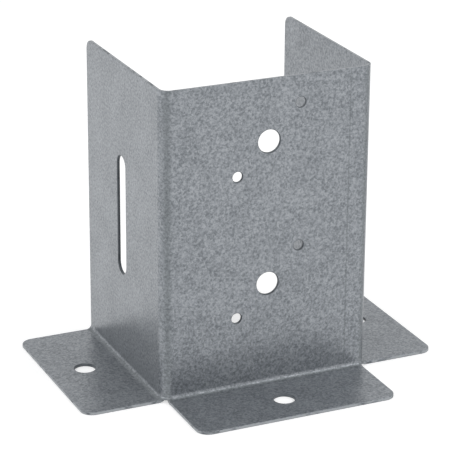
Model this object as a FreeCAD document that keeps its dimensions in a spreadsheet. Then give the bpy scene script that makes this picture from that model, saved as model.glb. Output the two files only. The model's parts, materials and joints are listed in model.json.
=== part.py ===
import FreeCAD, Part
import math
import os
import Sketcher

# Timber post base: a shoe that stands a square timber post on a slab.  One galvanised steel
# sheet is punched flat and folded: a front wall and two side walls hold the post on three
# sides, the back is open, and a foot turns outwards from the bottom of each wall.
#
# Frame: +X to the right, +Y towards the open back, +Z up, in millimetres.  The origin lies on
# the ground under the middle of the whole footprint.

NODE = "post_base_sheet"

SIZES = [
    ("socket_width", 102.0, "clear width between the side walls, for a 100 mm post"),
    ("wall_depth", 91.0, "front wall's outer face to the side walls' back edges"),
    ("wall_height", 150.0, "ground to the top of the walls"),
    ("sheet", 1.5, "thickness of the steel"),
    ("upright_bend", 4.0, "inside radius of the two upright bends"),
    ("foot_bend", 2.5, "inside radius of the bends between walls and feet"),
    ("foot_reach", 37.5, "each foot, out from its wall's outer face"),
    ("front_foot_inset", 2.8, "front foot's side edges, in from the side walls' outer faces"),
    ("side_foot_setback", 1.8, "side feet's front edges, back from the front wall's outer face"),
    ("notch_rise", 0.3, "notches between the feet, up past the feet's top faces"),
    ("foot_corner", 6.0, "radius of the feet's outer corners"),
    ("wall_corner", 5.0, "radius of the side walls' top back corners"),
    ("bolt_hole", 11.0, "diameter of the front wall's bolt holes"),
    ("bolt_height", 51.5, "lower bolt hole above the ground"),
    ("bolt_below_top", 29.5, "upper bolt hole below the top of the walls"),
    ("nail_hole", 5.0, "diameter of the nail holes"),
    ("nail_side", 15.5, "nail holes to the side of their bolt hole, one each side"),
    ("nail_above", 16.5, "right nail hole above its bolt hole"),
    ("nail_below", 15.0, "left nail hole below its bolt hole"),
    ("slot_width", 10.0, "width of the side walls' slots"),
    ("slot_length", 58.5, "length of the slots from end to end"),
    ("slot_height", 76.0, "middle of the slots above the ground"),
    ("side_centre", 48.5, "slots and side anchor holes, back from the front wall's outer face"),
    ("anchor_hole", 10.0, "diameter of the anchor holes in the feet"),
    ("anchor_reach", 19.5, "anchor holes, out from their walls' outer faces"),
]

# Places that several features share, as expressions on the sheet of sizes.
SIDE = "(sizes.socket_width / 2 + sizes.sheet)"        # side walls' outer faces, from x = 0
FRONT = "((sizes.foot_reach - sizes.wall_depth) / 2)"  # front wall's outer face
BACK = "((sizes.foot_reach + sizes.wall_depth) / 2)"   # back edges of walls and feet
TOE = f"({SIDE} + sizes.foot_reach)"                   # side feet's outer edges, from x = 0
SIDE_CENTRE = f"({FRONT} + sizes.side_centre)"         # slots and side anchor holes
PAST = "sizes.sheet"                                   # how far a cut runs past the steel

NORMAL = FreeCAD.Vector(0, 0, 1)                       # a sketch's normal, in its own frame

doc = FreeCAD.newDocument("timber_post_base")
sheet = doc.addObject("Spreadsheet::Sheet", "sizes")


def fill_sheet():
    """Write the driving sizes: a name, a number with that name as its alias, and a note."""
    for row, (name, value, note) in enumerate(SIZES, start=1):
        sheet.set(f"A{row}", name)
        sheet.set(f"B{row}", str(value))
        sheet.setAlias(f"B{row}", name)
        sheet.set(f"C{row}", note)
    doc.recompute()


def number(expression):
    """Work out an expression on the sheet of sizes."""
    return float(sheet.evalExpression(expression))


def flat_point(across, up):
    """Give a point of a sketch from two expressions."""
    return FreeCAD.Vector(number(across), number(up), 0)


def origin_part(body, role):
    """Find one of the body's own origin planes or axes."""
    return next(part for part in body.Origin.OriginFeatures if part.Role == role)


def new_sketch(body, name, plane, offset=None):
    """Lay a sketch on one of the body's origin planes, or at an offset along its normal."""
    sketch = body.newObject("Sketcher::SketchObject", name)
    sketch.AttachmentSupport = [(origin_part(body, plane), "")]
    sketch.MapMode = "FlatFace"
    if offset:
        sketch.setExpression("AttachmentOffset.Base.z", offset)
    return sketch


def tie(sketch, kind, *items):
    """Add a constraint that has no size."""
    sketch.addConstraint(Sketcher.Constraint(kind, *items))


def size(sketch, kind, *items, expression):
    """Add a constraint whose size is bound to the sheet of sizes."""
    index = sketch.addConstraint(Sketcher.Constraint(kind, *items, number(expression)))
    sketch.setExpression(f"Constraints[{index}]", expression)


def hold(sketch, item, vertex, across=None, up=None):
    """Hold a point at its distances from the sketch's origin, or on an axis where one is 0."""
    for kind, axis, expression in (("DistanceX", -2, across), ("DistanceY", -1, up)):
        if expression == "0":
            tie(sketch, "PointOnObject", item, vertex, axis)
        elif expression:
            size(sketch, kind, -1, 1, item, vertex, expression=expression)


def circle(sketch, across, up, diameter):
    """Draw the circle of a round hole."""
    rim = Part.Circle(flat_point(across, up), NORMAL, number(diameter) / 2)
    item = sketch.addGeometry(rim)
    hold(sketch, item, 3, across, up)
    size(sketch, "Diameter", item, expression=diameter)


def outline(sketch, corners, closed=True):
    """Draw level and upright lines from corner to corner, and round the corners with a radius.

    Each corner is (across, up, radius) in expressions, with a radius of None where it is sharp.
    """
    points = [flat_point(across, up) for across, up, _ in corners]
    trims = [number(radius) if radius else 0.0 for _, _, radius in corners]
    sides = len(corners) if closed else len(corners) - 1
    lines = []
    for here in range(sides):
        there = (here + 1) % len(corners)
        along = (points[there] - points[here]).normalize()
        start = points[here] + along * trims[here]
        end = points[there] - along * trims[there]
        line = sketch.addGeometry(Part.LineSegment(start, end))
        if abs(along.x) < abs(along.y):
            tie(sketch, "Vertical", line)
            hold(sketch, line, 1, across=corners[here][0])
        else:
            tie(sketch, "Horizontal", line)
            hold(sketch, line, 1, up=corners[here][1])
        lines.append(line)
    for here in range(0 if closed else 1, sides):
        join(sketch, lines[here - 1], lines[here], corners[here])
    return lines


def join(sketch, before, after, corner):
    """Join two lines at their corner, with a tangent arc if the corner has a radius."""
    across, up, radius = corner
    if not radius:
        tie(sketch, "Coincident", before, 2, after, 1)
        return
    ends = [sketch.Geometry[before].EndPoint, sketch.Geometry[after].StartPoint]
    centre = ends[0] + ends[1] - flat_point(across, up)
    turns_left = (ends[0] - centre).cross(ends[1] - centre).z > 0
    rim = Part.Circle(centre, NORMAL, number(radius))
    first, last = (rim.parameter(end) for end in (ends if turns_left else reversed(ends)))
    arc = sketch.addGeometry(Part.ArcOfCircle(rim, first, last))
    start, end = (1, 2) if turns_left else (2, 1)
    tie(sketch, "Tangent", before, 2, arc, start)
    tie(sketch, "Tangent", arc, end, after, 1)
    size(sketch, "Radius", arc, expression=radius)


def pocket(body, name, sketch, depth=None, both_ways=False):
    """Cut a sketch out along its normal, to a depth or through all, or through all both ways."""
    cut = body.newObject("PartDesign::Pocket", name)
    cut.Profile = sketch
    cut.Reversed = True
    if depth:
        cut.setExpression("Length", depth)
    else:
        cut.Type = "ThroughAll"
    if both_ways:
        cut.SideType = "Symmetric"
    return cut


def fold_sheet(body):
    """Sweep the section of a wall and its foot round the three sides of the socket."""
    plan = new_sketch(body, "wall_plan", "XY_Plane")
    bend = "(sizes.upright_bend + sizes.sheet)"
    sides = outline(plan, [
        (f"-{SIDE}", BACK, None),
        (f"-{SIDE}", FRONT, bend),
        (SIDE, FRONT, bend),
        (SIDE, BACK, None),
    ], closed=False)
    hold(plan, sides[0], 1, up=BACK)
    hold(plan, sides[-1], 2, up=BACK)

    section = new_sketch(body, "wall_and_foot_section", "XZ_Plane", offset=f"-{BACK}")
    inner_face = "-(sizes.socket_width / 2)"
    outline(section, [
        (f"-{SIDE}", "sizes.wall_height", None),
        (f"-{SIDE}", "sizes.sheet", "sizes.foot_bend"),
        (f"-{TOE}", "sizes.sheet", None),
        (f"-{TOE}", "0", None),
        (inner_face, "0", "(sizes.foot_bend + sizes.sheet)"),
        (inner_face, "sizes.wall_height", None),
    ])
    doc.recompute()

    folded = body.newObject("PartDesign::AdditivePipe", "folded_sheet")
    folded.Profile = section
    folded.Spine = (plan, [])


def part_feet(body):
    """Cut the swept foot to the outline of three feet, with a notch at both front corners."""
    tip = f"({FRONT} - sizes.foot_reach)"
    front_foot_side = f"({SIDE} - sizes.front_foot_inset)"
    side_foot_front = f"({FRONT} + sizes.side_foot_setback)"
    corner = "sizes.foot_corner"
    feet = new_sketch(body, "feet_outline", "XY_Plane")
    outline(feet, [
        (f"-{TOE}", BACK, corner),
        (f"-{TOE}", side_foot_front, corner),
        (f"-{front_foot_side}", side_foot_front, None),
        (f"-{front_foot_side}", tip, corner),
        (front_foot_side, tip, corner),
        (front_foot_side, side_foot_front, None),
        (TOE, side_foot_front, corner),
        (TOE, BACK, corner),
    ])
    outline(feet, [
        (f"-({TOE} + {PAST})", f"({tip} - {PAST})", None),
        (f"({TOE} + {PAST})", f"({tip} - {PAST})", None),
        (f"({TOE} + {PAST})", f"({BACK} + {PAST})", None),
        (f"-({TOE} + {PAST})", f"({BACK} + {PAST})", None),
    ])
    pocket(body, "feet_cut_out", feet, depth="sizes.sheet + sizes.notch_rise")


def punch_front_wall(body):
    """Punch a bolt hole with a nail hole each side of it, twice up the front wall."""
    group = new_sketch(body, "front_hole_group", "XZ_Plane")
    nail_hole = "sizes.nail_hole"
    circle(group, "0", "sizes.bolt_height", "sizes.bolt_hole")
    circle(group, "sizes.nail_side", "(sizes.bolt_height + sizes.nail_above)", nail_hole)
    circle(group, "-sizes.nail_side", "(sizes.bolt_height - sizes.nail_below)", nail_hole)
    holes = pocket(body, "lower_front_holes", group)
    doc.recompute()
    rows = body.newObject("PartDesign::LinearPattern", "front_holes")
    rows.Originals = [holes]
    rows.Direction = (group, ["V_Axis"])
    rows.Occurrences = 2
    rows.setExpression("Length", "sizes.wall_height - sizes.bolt_below_top - sizes.bolt_height")
    body.Tip = rows


def punch_side_walls(body):
    """Punch one upright slot through both side walls."""
    slot = new_sketch(body, "slot_outline", "YZ_Plane")
    radius = "(sizes.slot_width / 2)"
    straight = "(sizes.slot_length - sizes.slot_width)"
    ends = []
    for sign, turn in (("+", 0), ("-", math.pi)):
        height = f"(sizes.slot_height {sign} {straight} / 2)"
        rim = Part.Circle(flat_point(SIDE_CENTRE, height), NORMAL, number(radius))
        ends.append(slot.addGeometry(Part.ArcOfCircle(rim, turn, turn + math.pi)))
        hold(slot, ends[-1], 3, SIDE_CENTRE, height)
    for end, other in (ends, reversed(ends)):
        start = slot.Geometry[end].EndPoint
        side = slot.addGeometry(Part.LineSegment(start, slot.Geometry[other].StartPoint))
        tie(slot, "Tangent", end, 2, side, 1)
        tie(slot, "Tangent", side, 2, other, 1)
        size(slot, "Radius", end, expression=radius)
    pocket(body, "slots", slot, both_ways=True)


def punch_feet(body):
    """Punch the anchor hole of each foot."""
    anchors = new_sketch(body, "anchor_outline", "XY_Plane")
    out = f"({SIDE} + sizes.anchor_reach)"
    circle(anchors, f"-{out}", SIDE_CENTRE, "sizes.anchor_hole")
    circle(anchors, out, SIDE_CENTRE, "sizes.anchor_hole")
    circle(anchors, "0", f"({FRONT} - sizes.anchor_reach)", "sizes.anchor_hole")
    pocket(body, "anchor_holes", anchors)


def round_walls(body):
    """Round the top back corners of the side walls."""
    doc.recompute()
    walls = body.Tip
    corners = []
    for hand in (-1, 1):
        mid_thickness = hand * (number(SIDE) - number("sizes.sheet") / 2)
        corner = FreeCAD.Vector(mid_thickness, number(BACK), number("sizes.wall_height"))
        gaps = [edge.CenterOfMass.distanceToPoint(corner) for edge in walls.Shape.Edges]
        corners.append(f"Edge{gaps.index(min(gaps)) + 1}")
    rounding = body.newObject("PartDesign::Fillet", "wall_corners")
    rounding.Base = (walls, corners)
    rounding.setExpression("Radius", "sizes.wall_corner")


def check(body):
    """Stop if a feature failed, cut nothing, or left anything but one sound solid."""
    for item in doc.Objects:
        if "Invalid" in item.State or "Error" in item.State:
            raise RuntimeError(f"{item.Label} failed: {item.State}")
        if item.TypeId == "PartDesign::Pocket":
            removed = item.BaseFeature.Shape.Volume - item.Shape.Volume
            print(f"{item.Label} cuts {removed:.1f} mm3")
            if removed < 1:
                raise RuntimeError(f"{item.Label} cuts nothing")
    shape = body.Shape
    if shape.isNull() or not shape.isValid() or len(shape.Solids) != 1:
        raise RuntimeError(f"{body.Label} isn't one sound solid")


fill_sheet()
post_base = doc.addObject("PartDesign::Body", NODE)
post_base.Label = NODE
fold_sheet(post_base)
part_feet(post_base)
punch_front_wall(post_base)
punch_side_walls(post_base)
punch_feet(post_base)
round_walls(post_base)
doc.recompute()
check(post_base)

os.makedirs("parts", exist_ok=True)
post_base.Shape.exportStep(f"parts/{NODE}.step")
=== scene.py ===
import json
import math

import bmesh
import bpy
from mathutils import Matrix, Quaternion, Vector
from mathutils.bvhtree import BVHTree


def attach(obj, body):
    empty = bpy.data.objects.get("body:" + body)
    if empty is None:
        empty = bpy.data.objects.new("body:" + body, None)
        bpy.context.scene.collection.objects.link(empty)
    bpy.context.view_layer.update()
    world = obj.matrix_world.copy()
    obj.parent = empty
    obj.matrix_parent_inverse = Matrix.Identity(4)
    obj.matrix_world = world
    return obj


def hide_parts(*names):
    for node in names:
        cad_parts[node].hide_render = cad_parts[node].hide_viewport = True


# A timber post base, folded from one galvanised steel sheet, on a pale studio floor.

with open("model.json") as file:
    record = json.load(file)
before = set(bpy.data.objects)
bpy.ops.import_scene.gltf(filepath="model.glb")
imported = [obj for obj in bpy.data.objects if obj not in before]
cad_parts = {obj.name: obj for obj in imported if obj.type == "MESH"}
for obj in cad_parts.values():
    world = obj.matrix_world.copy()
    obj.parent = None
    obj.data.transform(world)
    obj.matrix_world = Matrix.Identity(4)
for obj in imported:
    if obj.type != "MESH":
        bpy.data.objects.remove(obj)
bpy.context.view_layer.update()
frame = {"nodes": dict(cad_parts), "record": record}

MM = 0.001
NODE = "post_base_sheet"

# The sheet's thickness and outer faces, as the holes through its walls and feet give them.
MOUNTS = {mount["name"]: mount for mount in frame["record"]["mounts"]}
SHEET = MOUNTS["front_anchor"]["dims"]["length_mm"] * MM
FRONT_FACE = MOUNTS["front_bolts"]["pos_m"][1] - SHEET / 2
SIDE_FACE = MOUNTS["right_slot"]["pos_m"][0] + SHEET / 2

# The bends, the painted shade over them, and the mark that the press's die left.
UPRIGHT_BEND = 5.5 * MM      # outer radius of the two upright bends
FOOT_BEND = 2.5 * MM         # radius between the walls' outer faces and the feet
BEND_SHADE_INSET = 2.9 * MM        # where the painted shade on an upright bend is darkest, in from the side wall's face
BEND_SHADE_REACH = 2.8 * MM        # how far that painted shade reaches to both sides of that
DIE_MARK_INSET = 12.0 * MM   # where the shoulder of the bending die pressed the front wall
DIE_MARK_WIDTH = 0.8 * MM

# The rims, and how the sheet's faces are told apart.
SHEAR_BREAK = 0.22 * MM      # how far the shears roll the outline's rims over
PUNCH_BREAK = 0.30 * MM      # how far the punches tear the rims of the holes
RIM_STEPS = 2                # faces across a broken rim
RIM_ROUND = 0.5              # the profile that makes a broken rim a quarter circle
CORNER_REACH = 3.5 * MM      # round a front corner's foot, where the bends run into each other
SHARP = math.radians(50)     # faces that meet at more than this make an edge
MERGE = 0.001 * MM           # points closer than this are one point
UNDER_FACE = 0.01 * MM       # where a ray that measures the steel behind a face starts
SKIN_SLACK = 0.1 * SHEET     # how far that measure may be off the sheet's thickness

GALVANISED, SHEARED, PUNCHED = 0, 1, 2   # the sheet's material slots

# The sizes of the steel's patterns.
CRYSTAL = 1.05 * MM          # across one zinc crystal
CRYSTAL_RELIEF = 0.06 * MM   # how far the crystals stand out of each other
MOTTLE = 14.0 * MM           # across one patch of crystals that froze together
TEAR = 0.5 * MM              # across one tear of the cut faces; real ones are too fine to show
EDGE_STAIN = 6.0 * MM        # length of the stains along the cut faces

# The zinc: how its crystals look, from the dark ones to the bright ones.
ZINC = [(0.4, "#6E7378"), (0.8, "#A2A6AB")]
# The zinc darkened as painted shade over the bends, from the dark crystals to the bright ones.
BEND_SHADE_ZINC = [(0.4, "#666B6F"), (0.8, "#8A8F93")]
CRYSTAL_SWIRL = 0.6          # how far the crystals' shapes are drawn out
MOTTLE_SHARE = 0.2           # how much a patch makes its crystals brighter
ZINC_METALLIC = 0.62         # the rest is patina, which scatters light as paint does
# The second roughness is for the bends under the painted shade.
ZINC_ROUGHNESS, BEND_ROUGHNESS = 0.32, 0.42
ZINC_BUMP = 0.5
MARK_TONE = 0.8              # how much of the darker bend zinc's colour a die mark has
MARK_DEPTH = 0.5             # a die mark's depth, in shares of the crystals' relief

# Where a foot bend gets painted shade, from the foot up to the wall: white is fully shaded, black
# isn't.
FOOT_BEND_SHADE = [(0.0, "#000000"), (0.06, "#FFFFFF"), (0.34, "#FFFFFF"), (0.46, "#707070"),
                     (1.0, "#000000")]
NOISE_MIDDLE = 0.5           # the value that a noise texture varies round

# The cut faces: their stains, and the steel between them.
WIPED_ZINC = [(0.36, "#6C7176"), (0.48, "#A2A6AA")]
BARE_STEEL = [(0.36, "#54595E"), (0.48, "#666B70")]
CUT_METALLIC, CUT_ROUGHNESS, CUT_BUMP = 0.5, 0.5, 0.4

# The studio.
WHITE = (1.0, 1.0, 1.0, 1.0)
PAPER = "#D2D2D2"
FLOOR_HALF = 6.0             # half the floor's width, in metres
FLOOR_GLOW = 0.5             # keeps the floor white where the lamps fall off
ROOM_FILL = 0.8              # how strongly the white room lights what stands in it
CEILING = 0.8                # how bright the room shows above the white backdrop
BACKDROP_TOP, CEILING_START = 0.05, 0.35   # heights of the two, as sines of the angle up

# Round softboxes: place in metres, diameter in metres, power in watts.
SOFTBOXES = {
    "left_softbox": ((-0.9, -0.2, 0.9), 0.6, 2.2),
    "right_softbox": ((0.9, -0.8, 1.0), 0.6, 4.0),
}

# The camera: where it aims, how far off and at what angles, with a long lens.
AIM = Vector((-1.8, 17.0, 65.0)) * MM
DISTANCE = 1069.8 * MM
AZIMUTH, ELEVATION, ROLL = (math.radians(angle) for angle in (-24.41, 21.13, 0.35))
LENS, SENSOR = 180.7, 36.0   # in millimetres


def linear(hex_colour, alpha=1.0):
    """Turn an sRGB hex colour into Blender's linear one."""
    shares = [int(hex_colour[place:place + 2], 16) / 255 for place in (1, 3, 5)]
    return [s / 12.92 if s <= 0.04045 else ((s + 0.055) / 1.055) ** 2.4 for s in shares] + [alpha]


def add_node(tree, kind, inputs=None, **settings):
    """Add a node with its settings; each input gets a value, or a link from a socket."""
    node = tree.nodes.new(kind)
    for name, value in settings.items():
        setattr(node, name, value)
    for name, value in (inputs or {}).items():
        if isinstance(value, bpy.types.NodeSocket):
            tree.links.new(value, node.inputs[name])
        else:
            node.inputs[name].default_value = value
    return node


def new_material(name):
    """Make an empty node material, and give its tree and its surface socket."""
    material = bpy.data.materials.new(name)
    material.use_nodes = True
    tree = material.node_tree
    tree.nodes.clear()
    return material, tree, add_node(tree, "ShaderNodeOutputMaterial").inputs["Surface"]


def set_ramp(node, stops):
    """Give a colour ramp its stops, as places and hex colours, and hand back its colour."""
    ramp = node.color_ramp
    while len(ramp.elements) < len(stops):
        ramp.elements.new(1.0)
    for element, (place, hex_colour) in zip(ramp.elements, stops):
        element.position, element.color = place, linear(hex_colour)
    return node.outputs["Color"]


def bend_shade_and_die_mark(tree, place, crystals):
    """Mask the painted shade over the bends, and the mark that the press's die left."""
    axes = add_node(tree, "ShaderNodeSeparateXYZ", {"Vector": place}).outputs
    up_the_wall = add_node(tree, "ShaderNodeMapRange", {
        "Value": axes["Z"], "From Min": SHEET, "From Max": SHEET + FOOT_BEND}).outputs["Result"]

    # An upright bend: a soft band of painted shade down the wall, round the place where it is
    # darkest.
    sideways = add_node(tree, "ShaderNodeMath", {0: axes["X"]}, operation="ABSOLUTE").outputs[0]
    from_side = add_node(tree, "ShaderNodeMath", {0: SIDE_FACE, 1: sideways},
                         operation="SUBTRACT").outputs[0]
    off_darkest_shade = add_node(tree, "ShaderNodeMath", {0: from_side, 1: BEND_SHADE_INSET},
                           operation="SUBTRACT").outputs[0]
    off_darkest_shade = add_node(tree, "ShaderNodeMath", {0: off_darkest_shade},
                           operation="ABSOLUTE").outputs[0]
    upright = add_node(tree, "ShaderNodeMapRange", {
        "Value": off_darkest_shade, "From Min": BEND_SHADE_REACH, "From Max": 0.0,
    }, interpolation_type="SMOOTHSTEP").outputs["Result"]
    from_front = add_node(tree, "ShaderNodeMath", {0: axes["Y"], 1: FRONT_FACE},
                          operation="SUBTRACT").outputs[0]
    at_front = add_node(tree, "ShaderNodeMath", {0: from_front, 1: UPRIGHT_BEND},
                        operation="LESS_THAN").outputs[0]
    upright = add_node(tree, "ShaderNodeMath", {0: upright, 1: at_front},
                       operation="MULTIPLY").outputs[0]
    upright = add_node(tree, "ShaderNodeMath", {0: upright, 1: up_the_wall},
                       operation="MULTIPLY").outputs[0]

    # A foot bend: painted shade low down, dimming its highlight.  Factors round 1, from the
    # crystals, make its border ragged.
    ragged = add_node(tree, "ShaderNodeMath", {0: crystals, 1: 1 - NOISE_MIDDLE},
                      operation="ADD").outputs[0]
    up_the_bend = add_node(tree, "ShaderNodeMath", {0: up_the_wall, 1: ragged},
                           operation="MULTIPLY").outputs[0]
    foot = set_ramp(add_node(tree, "ShaderNodeValToRGB", {"Fac": up_the_bend}),
                    FOOT_BEND_SHADE)
    painted_bend_shade = add_node(tree, "ShaderNodeMath", {0: upright, 1: foot},
                         operation="MAXIMUM").outputs[0]

    # The die's mark: a thin line down the right of the front wall.
    die_mark = add_node(tree, "ShaderNodeMath", {
        0: axes["X"], 1: SIDE_FACE - DIE_MARK_INSET, 2: DIE_MARK_WIDTH / 2,
    }, operation="COMPARE").outputs[0]
    die_mark = add_node(tree, "ShaderNodeMath", {0: die_mark, 1: up_the_wall},
                        operation="MULTIPLY").outputs[0]
    return painted_bend_shade, die_mark


def galvanised_steel():
    """Hot-dip galvanised sheet: molten zinc that froze in small crystals on the rolled steel.

    The crystals reflect a little differently, so the satin grey looks finely mottled, and a
    thin patina makes it partly matt.  Over the bends the zinc is painted darker as painted
    shade, and made a little rougher.
    """
    material, tree, surface = new_material("galvanised_steel")
    place = add_node(tree, "ShaderNodeTexCoord").outputs["Object"]
    crystals = add_node(tree, "ShaderNodeTexNoise", {
        "Vector": place, "Scale": 1 / CRYSTAL, "Distortion": CRYSTAL_SWIRL}).outputs["Fac"]
    mottle = add_node(tree, "ShaderNodeTexNoise", {
        "Vector": place, "Scale": 1 / MOTTLE}).outputs["Fac"]
    grain = add_node(tree, "ShaderNodeMath", {0: mottle, 1: MOTTLE_SHARE, 2: crystals},
                     operation="MULTIPLY_ADD").outputs[0]
    # The painted shade over the bends, and the die's mark.
    painted_bend_shade, die_mark = bend_shade_and_die_mark(tree, place, crystals)
    shade_and_mark = add_node(tree, "ShaderNodeMath", {0: die_mark, 1: MARK_TONE, 2: painted_bend_shade},
                      operation="MULTIPLY_ADD").outputs[0]

    zinc = set_ramp(add_node(tree, "ShaderNodeValToRGB", {"Fac": grain}), ZINC)
    # The same crystals darkened as painted shade, for the bends.
    shaded_zinc = set_ramp(add_node(tree, "ShaderNodeValToRGB", {"Fac": grain}), BEND_SHADE_ZINC)
    # A colour Mix has its two colours in sockets 6 and 7, and its result in 2.
    colour = add_node(tree, "ShaderNodeMix", {"Factor": shade_and_mark, 6: zinc, 7: shaded_zinc},
                      data_type="RGBA").outputs[2]
    gloss = add_node(tree, "ShaderNodeMapRange", {
        "Value": painted_bend_shade, "To Min": ZINC_ROUGHNESS, "To Max": BEND_ROUGHNESS,
    }).outputs["Result"]
    relief = add_node(tree, "ShaderNodeMath", {0: die_mark, 1: -MARK_DEPTH, 2: crystals},
                      operation="MULTIPLY_ADD").outputs[0]
    bump = add_node(tree, "ShaderNodeBump", {
        "Strength": ZINC_BUMP, "Distance": CRYSTAL_RELIEF, "Height": relief}).outputs["Normal"]
    steel = add_node(tree, "ShaderNodeBsdfPrincipled", {
        "Base Color": colour, "Metallic": ZINC_METALLIC, "Roughness": gloss, "Normal": bump})
    tree.links.new(steel.outputs["BSDF"], surface)
    return material


def cut_steel(name, stained):
    """Steel torn by a shear or a punch: matt, with fine tears, and stained in patches."""
    material, tree, surface = new_material(name)
    place = add_node(tree, "ShaderNodeTexCoord").outputs["Object"]
    stains = add_node(tree, "ShaderNodeTexNoise", {
        "Vector": place, "Scale": 1 / EDGE_STAIN}).outputs["Fac"]
    colour = set_ramp(add_node(tree, "ShaderNodeValToRGB", {"Fac": stains}), stained)
    tears = add_node(tree, "ShaderNodeTexNoise", {
        "Vector": place, "Scale": 1 / TEAR}).outputs["Fac"]
    bump = add_node(tree, "ShaderNodeBump", {
        "Strength": CUT_BUMP, "Distance": CRYSTAL_RELIEF, "Height": tears}).outputs["Normal"]
    steel = add_node(tree, "ShaderNodeBsdfPrincipled", {
        "Base Color": colour, "Metallic": CUT_METALLIC, "Roughness": CUT_ROUGHNESS,
        "Normal": bump})
    tree.links.new(steel.outputs["BSDF"], surface)
    return material


def islands(faces, joins):
    """Part faces into islands that hang together across the edges which the test lets join."""
    left = set(faces)
    while left:
        island, new = set(), {left.pop()}
        while new:
            island |= new
            new = {near for face in new for edge in face.edges if joins(edge)
                   for near in edge.link_faces} & left
            left -= new
        yield island


def area(faces):
    """Add up the area of some faces."""
    return sum(face.calc_area() for face in faces)


def sort_faces(work):
    """Tell the sheet's skins from its cut faces: behind a skin, the steel is one sheet thick."""
    solid = BVHTree.FromBMesh(work)
    for patch in islands(work.faces, lambda edge: edge.calc_face_angle() < SHARP):
        one_sheet_thick = []
        for face in patch:
            start = face.calc_center_median() - face.normal * UNDER_FACE
            _, _, _, depth = solid.ray_cast(start, -face.normal)
            if depth and abs(depth - SHEET) < SKIN_SLACK:
                one_sheet_thick.append(face)
        is_skin = area(one_sheet_thick) > area(patch) / 2
        for face in patch:
            face.material_index = GALVANISED if is_skin else SHEARED


def sort_cuts(work):
    """Tell the walls of the punched holes from the sheet's sheared outline, the largest cut."""
    cut_faces = [face for face in work.faces if face.material_index == SHEARED]
    cuts = sorted(islands(cut_faces, lambda edge: True), key=area)
    for hole in cuts[:-1]:
        for face in hole:
            face.material_index = PUNCHED


def in_corner(edge):
    """Tell whether an edge is at the foot of a front corner, whose small rims stay sharp."""
    x, y, z = (edge.verts[0].co + edge.verts[1].co) / 2
    return z < SHEET + FOOT_BEND and math.hypot(abs(x) - SIDE_FACE, y - FRONT_FACE) < CORNER_REACH


def break_rims(work, cut, width, finish):
    """Break the rims where a skin meets one kind of cut face, and give them a finish."""
    rims = [edge for edge in work.edges
            if {face.material_index for face in edge.link_faces} == {GALVANISED, cut}
            and edge.calc_face_angle() > SHARP and not in_corner(edge)]
    bmesh.ops.bevel(work, geom=rims, offset=width, segments=RIM_STEPS,
                    profile=RIM_ROUND, affect="EDGES", material=finish)


def list_in_order(work):
    """List the faces by their corners, because a bevel lists them differently each time."""
    count = len(work.verts)
    work.verts.index_update()

    def place(face):
        first, second, third = sorted(vert.index for vert in face.verts)[:3]
        return (first * count + second) * count + third

    work.faces.sort(key=place)


def make_sheet():
    """Copy the CAD sheet, merge it, break its rims, and finish its skins and cut faces."""
    mesh = frame["nodes"][NODE].data.copy()
    mesh.name = "galvanised_sheet"
    mesh.materials.clear()
    # Shears wipe the zinc over the outline's cut faces; a punch leaves the steel bare and dark.
    for material in (galvanised_steel(),
                     cut_steel("sheared_edge_with_wiped_zinc", WIPED_ZINC),
                     cut_steel("punched_bare_steel", BARE_STEEL)):
        mesh.materials.append(material)
    work = bmesh.new()
    work.from_mesh(mesh)
    bmesh.ops.remove_doubles(work, verts=work.verts, dist=MERGE)
    work.normal_update()
    sort_faces(work)
    sort_cuts(work)
    break_rims(work, SHEARED, SHEAR_BREAK, GALVANISED)
    break_rims(work, PUNCHED, PUNCH_BREAK, PUNCHED)
    list_in_order(work)
    for face in work.faces:
        face.smooth = True
    work.to_mesh(mesh)
    work.free()
    mesh.set_sharp_from_angle(angle=SHARP)
    sheet = bpy.data.objects.new("galvanised_sheet", mesh)
    bpy.context.scene.collection.objects.link(sheet)
    sheet.modifiers.new("flat_faces_stay_flat", "WEIGHTED_NORMAL").keep_sharp = True
    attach(sheet, "root")
    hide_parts(NODE)


def seen(tree):
    """Tell rays that show the room, to the eye or in a reflection, from those that light it."""
    ray = add_node(tree, "ShaderNodeLightPath").outputs
    eye_or_metal = add_node(tree, "ShaderNodeMath", {
        0: ray["Is Camera Ray"], 1: ray["Is Glossy Ray"]}, operation="MAXIMUM").outputs[0]
    return add_node(tree, "ShaderNodeMath", {
        0: eye_or_metal, 1: ray["Is Transmission Ray"]}, operation="MAXIMUM").outputs[0]


def make_floor():
    """Lay the pale floor: matt white paper that keeps its white where the lamps fall off."""
    material, tree, surface = new_material("pale_studio_paper")
    glow = add_node(tree, "ShaderNodeMath", {0: seen(tree), 1: FLOOR_GLOW},
                    operation="MULTIPLY").outputs[0]
    own_white = add_node(tree, "ShaderNodeEmission", {"Strength": glow}).outputs[0]
    paper = add_node(tree, "ShaderNodeBsdfDiffuse", {"Color": linear(PAPER)}).outputs[0]
    both = add_node(tree, "ShaderNodeAddShader", {0: own_white, 1: paper})
    tree.links.new(both.outputs[0], surface)

    corners = [(x * FLOOR_HALF, y * FLOOR_HALF, 0) for x, y in ((-1, -1), (1, -1), (1, 1), (-1, 1))]
    mesh = bpy.data.meshes.new("studio_floor")
    mesh.from_pydata(corners, [], [(0, 1, 2, 3)])
    mesh.materials.append(material)
    floor = bpy.data.objects.new("studio_floor", mesh)
    bpy.context.scene.collection.objects.link(floor)


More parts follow.
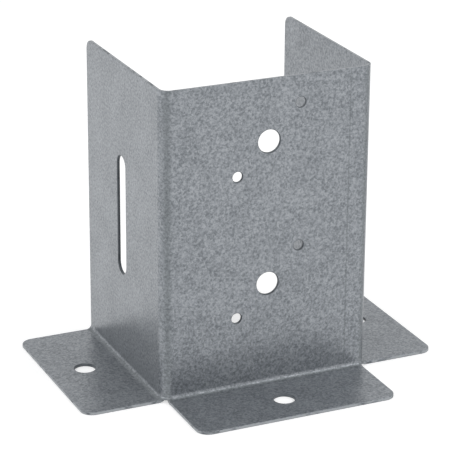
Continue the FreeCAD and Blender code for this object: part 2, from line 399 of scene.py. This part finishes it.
def make_room():
    """Surround the scene with a white room, a little darker overhead where metal mirrors it."""
    world = bpy.data.worlds.new("white_studio")
    world.use_nodes = True
    tree = world.node_tree
    tree.nodes.clear()
    direction = add_node(tree, "ShaderNodeTexCoord").outputs["Generated"]
    height = add_node(tree, "ShaderNodeSeparateXYZ", {"Vector": direction}).outputs["Z"]
    shown = add_node(tree, "ShaderNodeMapRange", {
        "Value": height, "From Min": BACKDROP_TOP, "From Max": CEILING_START,
        "To Min": 1.0, "To Max": CEILING}).outputs["Result"]
    strength = add_node(tree, "ShaderNodeMapRange", {
        "Value": seen(tree), "To Min": ROOM_FILL, "To Max": shown}).outputs["Result"]
    room = add_node(tree, "ShaderNodeBackground", {"Color": WHITE, "Strength": strength})
    tree.links.new(room.outputs[0], add_node(tree, "ShaderNodeOutputWorld").inputs["Surface"])
    bpy.context.scene.world = world


def aim_at(holder, target, turn=0.0):
    """Point a lamp or a camera at a place, turned about its line of sight."""
    look = (target - holder.location).to_track_quat("-Z", "Y")
    holder.rotation_mode = "QUATERNION"
    holder.rotation_quaternion = look @ Quaternion((0, 0, 1), turn)
    bpy.context.scene.collection.objects.link(holder)


def make_lamps():
    """Hang the round softboxes."""
    for name, (place, across, power) in SOFTBOXES.items():
        lamp = bpy.data.lights.new(name, "AREA")
        lamp.shape, lamp.size, lamp.energy = "DISK", across, power
        holder = bpy.data.objects.new(name, lamp)
        holder.location = place
        aim_at(holder, AIM)


def make_camera():
    """Look down at the front left corner through a long lens."""
    lens = bpy.data.cameras.new("long_lens")
    lens.lens, lens.sensor_width = LENS, SENSOR
    away = Vector((math.sin(AZIMUTH) * math.cos(ELEVATION),
                   -math.cos(AZIMUTH) * math.cos(ELEVATION), math.sin(ELEVATION)))
    holder = bpy.data.objects.new("camera", lens)
    holder.location = AIM + away * DISTANCE
    aim_at(holder, AIM, ROLL)
    bpy.context.scene.camera = holder


make_sheet()
make_floor()
make_room()
make_lamps()
make_camera()
bpy.context.scene.view_settings.view_transform = "Standard"
